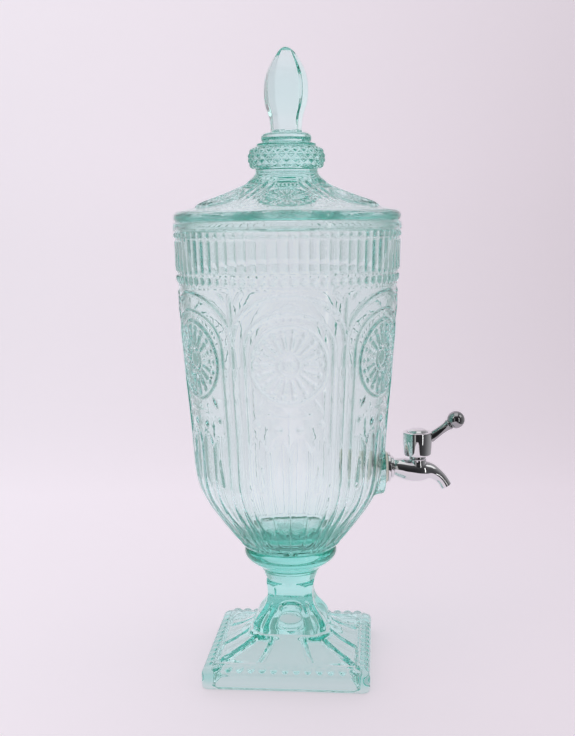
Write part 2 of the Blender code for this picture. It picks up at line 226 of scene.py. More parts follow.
def sweep(name, path, material, count=64, spacing=0.5):
    """Tube along (x, z, radius) points in the XZ plane, closed flat at each end."""
    p = np.array(path, float)
    line = trace([tuple(q) for q in p[:, :2]], spacing)
    length = np.r_[0, np.cumsum(np.linalg.norm(np.diff(line, axis=0), axis=1))]
    nodes = [length[np.argmin(np.hypot(*(line - q[:2]).T))] for q in p]
    radius = through(list(zip(nodes, p[:, 2])), length)
    ahead = np.gradient(line, length, axis=0)
    ahead /= np.linalg.norm(ahead, axis=1)[:, None]
    side = np.stack([ahead[:, 1], -ahead[:, 0]], -1)
    a = ring_angles(count)
    rows = np.empty((len(line), count, 3))
    c = np.cos(a)[None, :] * radius[:, None]
    rows[:, :, 0] = line[:, 0][:, None] + side[:, 0][:, None] * c
    rows[:, :, 2] = line[:, 1][:, None] + side[:, 1][:, None] * c
    rows[:, :, 1] = np.sin(a)[None, :] * radius[:, None]
    start = np.array([[line[0][0], 0, line[0][1]]])
    end = np.array([[line[-1][0], 0, line[-1][1]]])
    return add(name, closed_grid(name, rows, start, end), material)


def boolean(obj, tool, operation):
    """Joins or cuts obj with tool for good, and removes tool."""
    mod = obj.modifiers.new("cut", "BOOLEAN")
    mod.operation = operation
    mod.solver = "MANIFOLD"
    mod.object = tool
    bpy.context.view_layer.update()
    graph = bpy.context.evaluated_depsgraph_get()
    mesh = bpy.data.meshes.new_from_object(obj.evaluated_get(graph), depsgraph=graph)
    obj.modifiers.clear()
    old = obj.data
    obj.data = mesh
    bpy.data.meshes.remove(old)
    bpy.data.objects.remove(tool, do_unlink=True)


def crease(obj, degrees):
    """Smooth shading that breaks at edges sharper than an angle."""
    obj.data.polygons.foreach_set("use_smooth", np.ones(len(obj.data.polygons), bool))
    obj.data.set_sharp_from_angle(angle=math.radians(degrees))


# ---------------------------------------------------------------- materials

def nodes_of(name):
    """New material, with its node tree, its shader node and its output node."""
    mat = bpy.data.materials.new(name)
    mat.use_nodes = True
    tree = mat.node_tree
    shader = tree.nodes["Principled BSDF"]
    output = tree.nodes["Material Output"]
    return mat, tree, shader, output


def noise(tree, scale, detail=4.0):
    """Noise texture in object space."""
    place = tree.nodes.new("ShaderNodeTexCoord")
    made = tree.nodes.new("ShaderNodeTexNoise")
    made.inputs["Scale"].default_value = scale
    made.inputs["Detail"].default_value = detail
    tree.links.new(place.outputs["Object"], made.inputs["Vector"])
    return made


def ramp(tree, source, low, high):
    """Maps 0..1 noise to low..high."""
    made = tree.nodes.new("ShaderNodeMapRange")
    made.inputs["From Min"].default_value = 0.3
    made.inputs["From Max"].default_value = 0.7
    made.inputs["To Min"].default_value = low
    made.inputs["To Max"].default_value = high
    tree.links.new(source, made.inputs["Value"])
    return made.outputs["Result"]


def ripple(tree, shader, scale, distance, strength):
    """Faint surface unevenness as bump."""
    source = noise(tree, scale, 3.0)
    made = tree.nodes.new("ShaderNodeBump")
    made.inputs["Strength"].default_value = strength
    made.inputs["Distance"].default_value = distance
    tree.links.new(source.outputs["Fac"], made.inputs["Height"])
    tree.links.new(made.outputs["Normal"], shader.inputs["Normal"])


def glass_material(name, absorb, tint):
    """Pressed glass: absorb is per metre of red, green and blue; tint is the surfaces'."""
    mat, tree, shader, output = nodes_of(name)
    shader.inputs["Base Color"].default_value = tint
    shader.inputs["Roughness"].default_value = 0.0
    shader.inputs["IOR"].default_value = GLASS_IOR
    shader.inputs["Transmission Weight"].default_value = GLASS_CLEAR
    cloud = noise(tree, 22.0, 2.0)
    tree.links.new(ramp(tree, cloud.outputs["Fac"], 0.0, 0.02), shader.inputs["Roughness"])
    ripple(tree, shader, 55.0, 0.0006, 0.35)
    # shadow rays pass straight through, tinted
    path = tree.nodes.new("ShaderNodeLightPath")
    clear = tree.nodes.new("ShaderNodeBsdfTransparent")
    clear.inputs["Color"].default_value = SHADOW_TINT
    mix = tree.nodes.new("ShaderNodeMixShader")
    tree.links.new(path.outputs["Is Shadow Ray"], mix.inputs["Fac"])
    tree.links.new(shader.outputs["BSDF"], mix.inputs[1])
    tree.links.new(clear.outputs["BSDF"], mix.inputs[2])
    tree.links.new(mix.outputs["Shader"], output.inputs["Surface"])
    # thick glass goes green
    soak = tree.nodes.new("ShaderNodeVolumeAbsorption")
    soak.inputs["Color"].default_value = (*(1 - np.array(absorb) / max(absorb)), 1.0)
    soak.inputs["Density"].default_value = max(absorb)
    tree.links.new(soak.outputs["Volume"], output.inputs["Volume"])
    return mat


def chrome_material(name, tone):
    """Polished metal of one brightness."""
    mat, tree, shader, _ = nodes_of(name)
    shader.inputs["Base Color"].default_value = (tone, tone, tone * 1.01, 1.0)
    shader.inputs["Metallic"].default_value = 1.0
    haze = noise(tree, 180.0, 5.0)
    tree.links.new(ramp(tree, haze.outputs["Fac"], 0.02, 0.07), shader.inputs["Roughness"])
    ripple(tree, shader, 90.0, 0.0002, 0.25)
    return mat


def plain_material(name, colour, metallic, low, high, scale, glow=0.0):
    """Grained material whose roughness runs from low to high."""
    mat, tree, shader, _ = nodes_of(name)
    shader.inputs["Metallic"].default_value = metallic
    grain = noise(tree, scale, 4.0)
    tone = tree.nodes.new("ShaderNodeMix")
    tone.data_type = "RGBA"
    tone.inputs["A"].default_value = (*[c * 0.9 for c in colour], 1.0)
    tone.inputs["B"].default_value = (*[min(1.0, c * 1.06) for c in colour], 1.0)
    tree.links.new(grain.outputs["Fac"], tone.inputs["Factor"])
    tree.links.new(tone.outputs["Result"], shader.inputs["Base Color"])
    # the glow is painted light: the part gives off its own colour as if lit
    tree.links.new(tone.outputs["Result"], shader.inputs["Emission Color"])
    shader.inputs["Emission Strength"].default_value = glow
    tree.links.new(ramp(tree, grain.outputs["Fac"], low, high), shader.inputs["Roughness"])
    ripple(tree, shader, scale * 4, 0.0001, 0.3)
    return mat


GLASS_IOR = 1.48
GLASS_CLEAR = 0.985        # share of the light that goes through a surface
GLASS_TINT = (0.985, 1.0, 0.995, 1.0)
FOOT_TINT = (0.92, 0.995, 0.985, 1.0)
SHADOW_TINT = (0.95, 0.99, 0.98, 1.0)
SEAL_GLOW = 0.3            # light the glass round the seals scatters into them
# painted light: the lock nut gives off its own colour, standing in for light reaching it
# through the glass
NUT_GLOW = 0.5
GLASS = glass_material("aqua_pressed_glass", (13.0, 2.2, 3.6), GLASS_TINT)
LID_GLASS = glass_material("aqua_lid_glass", (9.0, 1.6, 2.6), GLASS_TINT)
FOOT_GLASS = glass_material("aqua_foot_glass", (17.0, 2.6, 4.4), FOOT_TINT)
CHROME = chrome_material("polished_chrome", 0.82)
# the same chrome at about half the brightness, for the lever rod and knob
DARK_CHROME = chrome_material("dark_chrome", 0.42)
STEEL = plain_material("satin_steel", (0.60, 0.60, 0.61), 1.0, 0.22, 0.38, 300.0)
SILICONE = plain_material(
    "cream_silicone", (0.80, 0.76, 0.68), 0.0, 0.42, 0.6, 160.0, SEAL_GLOW)
PLASTIC = plain_material(
    "white_plastic", (0.86, 0.86, 0.83), 0.0, 0.3, 0.45, 200.0, NUT_GLOW)
RUBBER = plain_material("black_rubber", (0.03, 0.03, 0.03), 0.0, 0.5, 0.7, 260.0)


# ---------------------------------------------------------------- the jar

# (height, radius) of the outside, and (radius, height) of the inside from the middle up
BOWL_SIDE = (
    (92.4, 34.2), (93.4, 36.0), (94.8, 37.3), (98.7, 40.5), (102.9, 44.2), (108.2, 48.2),
    (113.4, 52.2), (118.6, 56.0), (123.9, 59.9), (130.2, 63.9), (138.6, 68.2),
    (145.0, 70.4), (154.0, 72.1), (167.4, 73.1), (181.4, 73.9), (193.0, 74.8),
    (204.6, 75.8), (213.9, 76.7), (227.6, 77.9), (241.4, 78.9), (255.0, 80.1),
    (268.6, 80.8), (282.0, 82.0), (295.6, 82.6), (304.5, 83.5), (318.0, 84.0),
    (331.0, 84.5), (336.5, 84.6),
)
BOWL_INSIDE = (
    (0.0, 101.5), (14.0, 101.8), (24.0, 103.4), (34.0, 107.4), (42.0, 113.0), (48.0, 119.0),
    (54.0, 126.0), (59.5, 133.5), (64.0, 143.0), (66.4, 153.0), (67.6, 167.0),
    (68.8, 185.0), (70.6, 205.0), (72.6, 228.0), (74.6, 255.0), (76.6, 282.0),
    (78.0, 304.0), (79.2, 320.0), (79.6, 334.0), (79.8, 338.2),
)
DEPTH = 1.5               # full height of the pressed pattern
BOSS_FACE = 72.4
BOSS_RADIUS = 20.4
SEAT_FACE = 72.0          # sunk seat of the outer washer, outside
SEAT_RADIUS = 13.0
INNER_SEAT_FACE = 67.2    # and the flat spot under the inner washer
INNER_SEAT_RADIUS = 13.5
HOLE_RADIUS = 8.5
RIBS = 72
PANEL = 60.0              # degrees
COLUMN = 23.4             # degrees from a panel's middle to its column
MEDALLION_Z = 242.0
BEAD_ROW_Z = 298.5


def bowl_pattern(front, z, radius):
    """Height of the pattern, 0 to 1, at an angle from the front in degrees.

    h is raised part by part: lip, ribs, beads, arches, medallion, leaves, flutes, joint.
    """
    a = front - np.round(front / PANEL) * PANEL
    u = np.radians(a) * radius
    mirror = np.abs(a)
    edge = np.radians(PANEL / 2 - mirror) * radius
    pitch = 2 * np.pi * radius / RIBS
    across = (np.mod(front * RIBS / 360.0, 1.0) - 0.5) * pitch

    h = step(332.4, 333.4, z)
    h = np.maximum(h, bump(across, 2.9) * bump(z - 330.1, 2.1) * 0.95)
    ends = np.clip((z - 303.2) / 2.4, 0, 1) * np.clip((327.2 - z) / 2.0, 0, 1)
    h = np.maximum(h, bump(across, 3.3) * np.sqrt(ends) * 0.75)
    bead = np.sqrt(across**2 + (z - BEAD_ROW_Z) ** 2)
    h = np.maximum(h, bump(bead, 2.8))
    h = np.maximum(h, 0.4 * soft(z - 293.8, 1.2))

    # outer arch on the column between panels, inner arch on its legs
    top = np.clip(z - 255.0, 0, None)
    outer = (np.sqrt((mirror / 30.0) ** 2 + (top / 34.0) ** 2) - 1) * 36.0
    h = np.maximum(h, 0.95 * soft(outer, 2.4) * step(250, 256, z))
    h = np.maximum(h, 0.95 * soft(edge, 2.3) * step(290, 284, z))
    high = np.clip(z - 252.0, 0, None)
    inner = (np.sqrt((mirror / COLUMN) ** 2 + (high / 25.0) ** 2) - 1) * 29.0
    leg = np.radians(mirror - COLUMN) * radius
    h = np.maximum(h, 0.95 * soft(np.where(z > 252, inner, leg), 2.0) * step(290, 280, z))
    groove = step(0.0, 1.5, inner) * step(0.0, 1.5, -outer) * (z > 252)
    h = np.maximum(h, 0.28 * groove)

    # medallion
    dz = z - MEDALLION_Z
    rho = np.sqrt(u**2 + dz**2)
    phi = np.arctan2(dz, u)
    h = np.maximum(h, 0.9 * soft(rho - 27.0, 2.3))
    petal = np.clip(np.cos(18 * phi), 0, 1) ** 0.6
    h = np.maximum(h, 0.85 * petal * step(9.0, 12.5, rho) * step(22.0, 19.0, rho))
    arc = (np.mod((phi + np.pi / 18) * 18 / (2 * np.pi), 1.0) - 0.5) * 2 * np.pi * 23.2 / 18
    h = np.maximum(h, 0.9 * bump(np.sqrt(arc**2 + (rho - 23.2) ** 2), 2.0))
    h = np.maximum(h, 0.6 * soft(rho - 7.6, 1.3))
    h = np.maximum(h, 0.95 * bump(rho, 4.6))

    # leaves, swag and beads under the medallion
    s = np.abs(u)
    leaf = np.sqrt(((s - 20.8) * 0.86 + (z - 212.5) * 0.50) ** 2 / 2.0
                   + ((s - 20.8) * 0.50 - (z - 212.5) * 0.86) ** 2 / 34.0)
    h = np.maximum(h, 0.8 * soft(leaf, 1.15))
    corner = np.sqrt(((s - 35.5) * 0.71 + (z - 288.0) * 0.71) ** 2 / 2.2
                     + ((s - 35.5) * 0.71 - (z - 288.0) * 0.71) ** 2 / 22.0)
    h = np.maximum(h, 0.7 * soft(corner, 1.15))
    swag = z - (209.0 - 3.6 * np.cos(np.radians(np.clip(a, -24, 24)) * 3.75))
    h = np.maximum(h, 0.25 * soft(swag, 1.8) * step(18.5, 15.0, s))
    lane = (np.round(mirror / (COLUMN / 2) - 0.5) + 0.5) * (COLUMN / 2)
    offset = np.radians(mirror - np.minimum(lane, 17.55)) * radius
    level = np.where(lane > 10, 199.5, 196.0)
    h = np.maximum(h, 0.8 * soft(np.sqrt(offset**2 + (z - level) ** 2), 3.4))

    # hollow flutes down to the base, four to a panel, and a narrow pair on the column
    wide = mirror < COLUMN
    t = np.where(wide, mirror / (COLUMN / 2) % 1.0, (mirror - COLUMN) / 6.6)
    hollow = np.clip(4 * t * (1 - t), 0, 1) ** (0.5 + 0.45 * step(160.0, 188.0, z))
    crown = np.where(wide, 191.0 - 9.0 * (2 * t - 1) ** 2, 240.0)
    on = step(crown, crown - 3.0, z) * step(96.0, 99.0, z)
    h = np.where(on > 0, h * (1 - on) + on * (1 - hollow * 0.95), h)
    drop = np.radians(mirror - 16.2) * radius
    girth = 0.5 + 2.5 * step(171.0, 155.0, z)
    h = np.maximum(h, 0.9 * bump(drop, girth) * step(149.0, 151.5, z) * step(171.5, 170.5, z))
    # points standing up from the joint with the foot
    peak = step(0.6, -0.4, s * 0.62 - (98.4 - z) * 0.5)
    h = np.maximum(h, np.maximum(step(97.0, 96.2, z), peak * step(99.0, 98.0, z)))
    return np.clip(h, 0, 1)


def build_bowl():
    a = ring_angles(COUNT)
    front = np.degrees(a) + 90.0
    inside = trace(BOWL_INSIDE, 4.0)
    lip = trace([(79.8, 338.2), (80.4, 339.2), (81.2, 339.5), (82.9, 339.5), (84.0, 338.9),
                 (84.5, 337.6), (84.6, 336.6)], 0.5)
    heights = np.r_[np.arange(336.0, 296.0, -0.62), np.arange(296.0, 190.0, -0.85),
                    np.arange(190.0, 130.0, -1.25), np.arange(130.0, 96.0, -0.9),
                    np.arange(96.0, 92.5, -0.5)]
    rows = [lathe_rows(inside[1:-1], COUNT), lathe_rows(lip, COUNT)]
    z = np.repeat(heights[:, None], COUNT, 1)
    base = through(BOWL_SIDE, heights)[:, None]
    f = np.repeat(front[None, :], len(heights), 0)
    r = base - DEPTH * (1 - bowl_pattern(f, z, base))
    # boss for the tap
    near = np.cos(a)[None, :]
    y = BOSS_FACE * np.tan(a)[None, :]
    away = np.sqrt(y**2 + (z - TAP_Z) ** 2)
    past = away - BOSS_RADIUS + 3.0
    rise = np.where(past < 0, 0, 3 - np.sqrt(np.clip(9 - past**2, 0, 9)))
    face = BOSS_FACE - rise - np.clip(past - 3.0, 0, None) * 5.0
    pad = (near > 0.8) & (past < 6.0)
    r = np.where(pad, np.maximum(r, face / np.maximum(near, 0.1)), r)
    rows.append(np.stack([r * np.cos(a), r * np.sin(a), z], -1))
    foot = trace([(33.6, 92.4), (30.0, 92.45), (16.0, 92.5), (0.0, 92.5)], 2.0)[:-1]
    rows.append(lathe_rows(foot, COUNT))
    mesh = closed_grid("jar_glass", np.vstack(rows), np.array([[0, 0, 101.5]]),
                       np.array([[0, 0, 92.5]]))
    bowl = add("jar_glass", mesh, GLASS)
    hole = turned("hole", corners(
        (0, 85), (SEAT_RADIUS, 85), (SEAT_RADIUS, SEAT_FACE), (HOLE_RADIUS, SEAT_FACE),
        (HOLE_RADIUS, INNER_SEAT_FACE), (INNER_SEAT_RADIUS, INNER_SEAT_FACE),
        (INNER_SEAT_RADIUS, 45), (0, 45)), None, 96, 3.0, (0, 0, TAP_Z), 90.0)
    boolean(bowl, hole, "DIFFERENCE")
    crease(bowl, 55)
    finish_piece(bowl, "jar", "glass_bowl")


# ---------------------------------------------------------------- the lid

FACET_CUT = 1.19          # distance of a cut corner over distance of a flat
FINIAL_SHARP = 110        # the larger, the sharper the edges between facets
STUDS_ROUND = 26
STUD_DEPTH = 1.2
LID_DEPTH = 1.35
OVAL_R = 55.5             # middle of the oval on each panel of the lid


def faceted(angle, flat, sharp=90):
    """Section radius of a square with cut corners, its edges a little rounded."""
    total = 0.0
    for turn in range(8):
        distance = 1.0 if turn % 2 == 0 else FACET_CUT
        across = np.clip(np.cos(angle - turn * np.pi / 4) / distance, 1e-6, None)
        total = total + across**sharp
    return flat / total ** (1 / sharp)


# (radius, height); the finial's radius is the distance of its flats
FINIAL = (
    (0.0, 464.6), (1.7, 464.4), (3.7, 463.2), (5.9, 460.6), (8.45, 456.4), (10.75, 452.1),
    (12.5, 447.9), (13.8, 443.7), (14.5, 439.4), (14.8, 433.5), (14.5, 427.5),
    (13.6, 422.6), (12.15, 418.3), (11.05, 413.9), (10.5, 408.0), (10.4, 404.6),
)
LID_TOP = (
    (10.4, 404.6), (10.4, 404.6), (11.4, 403.9), (15.6, 403.2), (17.6, 402.1),
    (18.5, 400.5), (18.5, 398.9), (18.1, 397.7), (17.6, 396.9), (17.6, 396.9), (20.8, 395.9),
    (25.2, 393.4), (27.9, 389.8), (28.8, 385.6), (28.0, 381.0), (25.6, 377.4),
    (22.9, 376.0), (22.9, 376.0), (23.4, 374.0), (26.0, 371.0), (31.0, 367.0),
    (41.0, 362.4), (51.0, 358.4), (63.0, 354.0), (73.0, 350.2), (79.4, 347.7),
    (82.4, 346.2), (83.8, 344.5), (84.1, 342.6), (83.7, 340.9), (82.6, 339.9),
    (81.6, 339.8),
)
LID_UNDER = (
    (81.6, 339.8), (79.3, 339.8), (79.3, 339.8), (79.0, 339.4), (79.0, 334.4), (78.3, 333.6),
    (75.8, 333.6), (75.0, 334.4), (75.0, 339.0), (73.6, 341.2), (68.0, 343.8),
    (60.0, 347.2), (50.0, 351.6), (40.0, 356.0), (30.0, 361.0), (22.0, 365.3),
    (14.0, 368.5), (0.0, 369.5),
)


def lid_pattern(front, r, z):
    """Height of the lid's pattern, 0 to 1, by angle, radius and height."""
    a = front - np.round(front / PANEL) * PANEL
    mirror = np.abs(a)
    cone = (z < 370.0) & (z > 346.0)
    h = np.ones_like(r)
    flat = step(27.5, 29.5, r) * step(80.5, 78.5, r) * cone
    low = np.zeros_like(r)
    edge = np.radians(30.0 - mirror) * r
    reach = step(26.0, 28.0, r) * step(61.0, 54.0, r)
    low = np.maximum(low, 0.9 * soft(edge, 1.8) * reach)
    side = np.radians(np.abs(mirror - np.interp(r, (26, 64), (17.0, 25.5)))) * r
    low = np.maximum(low, 0.9 * soft(side, 1.4) * reach)
    u = np.radians(a) * OVAL_R
    v = r - OVAL_R
    rho = np.sqrt((u / 19.0) ** 2 + (v / 16.5) ** 2)
    phi = np.arctan2(v / 16.5, u / 19.0)
    scallop = 1.0 + 0.05 * np.abs(np.cos(11 * phi))
    low = np.maximum(low, 0.95 * soft((rho / scallop - 0.93) * 17.0, 1.6))
    petals = np.clip(np.cos(18 * phi), 0, 1) ** 0.7
    low = np.maximum(low, 0.85 * petals * step(0.28, 0.42, rho) * step(0.86, 0.76, rho))
    dots = np.cos(u * 1.7) * np.cos(v * 1.7)
    low = np.maximum(low, 0.9 * np.clip(dots, 0, 1) * step(0.3, 0.24, rho))
    fan = (np.mod(a / 4.6, 1.0) - 0.5) * np.radians(4.6) * 32.5
    row = np.sqrt(fan**2 + (r - 32.5) ** 2)
    low = np.maximum(low, 0.9 * bump(row, 1.25) * (mirror < 15.0))
    low = np.maximum(low, 0.6 * soft(r - 36.2, 1.1) * step(15.5, 14.0, mirror))
    h = h * (1 - flat) + low * flat

    # studded knob, four staggered rows
    knob = (z > 376.0) & (z < 395.4) & (r > 19.0)
    studs = np.zeros_like(r)
    for n, level in enumerate((379.3, 383.2, 387.3, 391.2)):
        girth = 2 * np.pi * np.interp(level, (379, 385, 391), (26.2, 28.4, 26.2))
        turn = np.mod(front * STUDS_ROUND / 360.0 + 0.5 * (n % 2), 1.0) - 0.5
        x = turn * girth / STUDS_ROUND
        reach = np.abs(x) / 3.3 + np.abs(z - level) / 2.6
        studs = np.maximum(studs, np.clip(1.0 - reach, 0, 1) ** 0.8)
    return np.where(knob, studs, h), knob


def build_lid():
    a = ring_angles(COUNT)
    front = np.degrees(a) + 90.0
    finial = trace(FINIAL, 1.2)[1:-1]
    size = finial[:, 0][:, None]
    own = (a - math.radians(FINIAL_TWIST))[None, :]
    r = size + (faceted(own, size, FINIAL_SHARP) - size) * step(1.5, 5.5, size)
    z = np.repeat(finial[:, 1][:, None], COUNT, 1)
    rows = [np.stack([r * np.cos(a), r * np.sin(a), z], -1)]
    top = trace(LID_TOP, 0.62)
    ahead = np.gradient(top, axis=0)
    ahead /= np.linalg.norm(ahead, axis=1)[:, None]
    normal = np.stack([-ahead[:, 1], ahead[:, 0]], -1)
    r = np.repeat(top[:, 0][:, None], COUNT, 1)
    z = np.repeat(top[:, 1][:, None], COUNT, 1)
    f = np.repeat(front[None, :], len(top), 0)
    h, knob = lid_pattern(f, r, z)
    sunk = np.where(knob, STUD_DEPTH, LID_DEPTH) * (1 - h)
    square = faceted(own, 1.0, FINIAL_SHARP) - 1.0
    blend = step(11.9, 10.6, top[:, 0])[:, None]
    r = r * (1 + square * blend) - sunk * normal[:, 0][:, None]
    z = z - sunk * normal[:, 1][:, None]
    rows.append(np.stack([r * np.cos(a), r * np.sin(a), z], -1))
    rows.append(lathe_rows(trace(LID_UNDER, 1.6)[1:-1], COUNT))
    mesh = closed_grid("lid_glass", np.vstack(rows), np.array([[0, 0, 464.6]]),
                       np.array([[0, 0, 369.5]]))
    lid = add("lid_glass", mesh, LID_GLASS)
    crease(lid, 50)
    finish_piece(lid, "lid", "lid")


# ---------------------------------------------------------------- the foot

# (radius, height); the slope's third value is how far it is still round, not square
STEM = (
    (33.8, 92.1), (34.6, 91.6), (35.2, 90.4), (35.4, 88.6), (35.1, 86.2), (33.2, 83.2),
    (29.6, 80.2), (25.8, 77.8), (23.4, 75.6), (22.2, 73.6), (22.2, 73.6), (21.4, 72.6),
    (20.2, 69.6), (19.2, 67.0), (18.2, 64.6), (17.6, 62.4), (17.3, 60.0), (17.1, 57.0),
    (17.2, 54.0), (17.7, 51.0), (18.7, 47.8), (20.2, 45.2), (22.3, 42.4), (25.5, 38.2),
    (27.4, 34.8), (27.9, 33.2),
    (27.9, 33.2), (27.9, 29.8),
)
SLOPE = (
    (27.9, 29.8, 1.0), (29.6, 29.2, 1.0), (33.2, 26.9, 0.85), (36.4, 24.8, 0.68),
    (41.5, 21.6, 0.42), (49.5, 17.8, 0.15), (52.5, 16.6, 0.08), (56.0, 15.4, 0.03),
    (58.8, 14.5, 0.0), (60.4, 13.7, 0.0), (61.4, 12.6, 0.0), (61.85, 11.2, 0.0),
    (61.85, 6.0, 0.0), (61.85, 1.6, 0.0), (61.4, 0.5, 0.0), (60.4, 0.0, 0.0),
    (57.0, 0.0, 0.0), (54.6, 0.0, 0.0), (54.2, 0.4, 0.0), (53.8, 5.4, 0.0),
    (52.4, 8.0, 0.0), (49.6, 9.4, 0.03), (44.6, 11.6, 0.15), (37.0, 15.4, 0.4),
    (29.5, 19.4, 0.7), (21.5, 24.0, 1.0),
)
HOLLOW = (
    (21.1, 24.3), (17.4, 28.0), (14.5, 32.4), (12.6, 37.0), (10.9, 41.0), (8.0, 44.8),
    (4.2, 46.8), (0.0, 47.3),
)
CORNER_ROUND = (           # (height, radius) of the round the stem's facets are cut from
    (38.0, 36.0), (42.8, 31.5), (47.8, 28.0), (52.0, 25.6), (55.0, 24.4), (58.0, 23.6),
    (61.0, 22.8), (63.0, 21.6), (64.5, 20.6), (65.6, 19.6), (66.2, 19.2),
)


FOOT_HALF = 61.85
FOOT_CORNER = 6.0
GROOVE_DEPTH = 3.0
BEAD_PITCH = 8.4
BEAD_LINE = 57.6          # from the middle


def rounded_square(angle, half, corner):
    fold = np.abs(np.mod(angle + np.pi / 4, np.pi / 2) - np.pi / 4)
    c, s = np.cos(fold), np.sin(fold)
    flat = half - corner
    along = flat * (c + s)
    arc = along + np.sqrt(np.clip(along**2 - 2 * flat**2 + corner**2, 0, None))
    return np.where(s * half <= flat * c, half / c, arc)


def foot_pattern(x, y):
    """Height added to the foot's sloping top, in millimetres."""
    side = np.maximum(np.abs(x), np.abs(y))
    r = np.hypot(x, y)
    angle = np.degrees(np.arctan2(y, x))
    fold = np.mod(angle, 90.0)
    groove = np.zeros_like(r)
    for at in (20.0, 45.0, 70.0):
        d = np.abs(np.radians(fold - at) * r)
        width = 2.3 + 0.02 * (r - 30)
        start = 36.0 if at == 45.0 else 31.5
        cut = np.clip(1 - d / width, 0, 1) ** 0.8
        groove = np.maximum(groove, cut * step(start, start + 4.0, r))
    groove = groove * step(50.8, 48.8, side)
    sector = (fold > 20.0) & (fold < 70.0)
    tip = np.clip(1 - np.abs(side - 50.0) / 1.1, 0, 1) * sector
    # beads along the border
    along = np.where(np.abs(x) > np.abs(y), y, x)
    t = (np.mod(along / BEAD_PITCH + 0.5, 1.0) - 0.5) * BEAD_PITCH
    d = np.sqrt(t**2 + (side - BEAD_LINE) ** 2)
    beads = bump(d, 3.2) * (np.abs(along) < 56.0)
    line = 0.5 * soft(side - 53.0, 0.9)
    return 1.8 * beads - GROOVE_DEPTH * np.maximum(groove, 0.3 * tip) + line


def build_foot():
    a = ring_angles(COUNT)
    own = (a - math.radians(FOOT_TWIST))[None, :]
    stem = trace(STEM, 0.8)
    size = stem[:, 0][:, None]
    z = stem[:, 1][:, None]
    cut = faceted(own, size * (1 + 0.2 * step(65.8, 67.0, z)))
    whole = np.interp(z, *zip(*CORNER_ROUND))
    r = np.minimum(cut, np.where(z > 66.0, size, whole))
    z = np.repeat(z, COUNT, 1)
    rows = [np.stack([r * np.cos(a), r * np.sin(a), z], -1)]

    slope = trace([p[:2] for p in SLOPE], 0.75)
    key = np.r_[0, np.cumsum(np.hypot(*np.diff(np.array(SLOPE)[:, :2], axis=0).T))]
    now = np.r_[0, np.cumsum(np.hypot(*np.diff(slope, axis=0).T))]
    share = np.interp(now / now[-1], key / key[-1], [p[2] for p in SLOPE])[:, None]
    size = slope[:, 0][:, None]
    flat = rounded_square(own, size, FOOT_CORNER * size / FOOT_HALF)
    outside = (np.cumsum(slope[:, 1] < 1.0) == 0)[:, None]
    inner = np.where(outside, faceted(own, size) * step(36, 29, size)
                     + size * step(29, 36, size), size)
    r = flat + (inner - flat) * share
    x, y = r * np.cos(own), r * np.sin(own)
    z = np.repeat(slope[:, 1][:, None], COUNT, 1)
    z = z + np.where(outside & (z > 13.6) & (size < 60.9), foot_pattern(x, y), 0.0)
    rows.append(np.stack([r * np.cos(a), r * np.sin(a), z], -1)[1:])
    rows.append(lathe_rows(trace(HOLLOW, 1.2)[:-1], COUNT))
    mesh = closed_grid("foot_glass", np.vstack(rows), np.array([[0, 0, 92.1]]),
                       np.array([[0, 0, 47.3]]))
    foot = add("foot_glass", mesh, FOOT_GLASS)
    crease(foot, 50)
    finish_piece(foot, "jar", "pedestal_foot")


# ---------------------------------------------------------------- the tap

# (x, z, radius) along the casting's barrel and spout, and along the way out through it
BARREL = (
    (79.4, 152.1, 6.2), (82.0, 151.9, 7.0), (86.0, 151.1, 7.8), (91.0, 149.9, 8.4),
    (97.5, 149.3, 8.5), (103.0, 149.3, 7.7), (107.5, 148.7, 6.2), (111.5, 146.6, 5.0),
    (115.2, 143.6, 4.4), (117.8, 140.4, 4.2), (119.9, 136.8, 4.25),
)
OUTLET = (
    (100.0, 149.3, 2.6), (106.0, 149.0, 2.6), (110.0, 147.9, 2.6), (112.0, 146.5, 2.6),
    (115.2, 143.6, 2.9), (117.8, 140.4, 3.2), (121.1, 134.7, 3.3),
)
SHANK_RADIUS = 8.0
CHAMBER_RADIUS = 5.5
CHAMBER_FLOOR = 144.0
INLET_RADIUS = 3.4


def corners(*points):
    """Doubles every inner point, so each is a corner."""
    out = [points[0], points[0]]
    for p in points[1:-1]:
        out += [p, p]
    return out + [points[-1]]


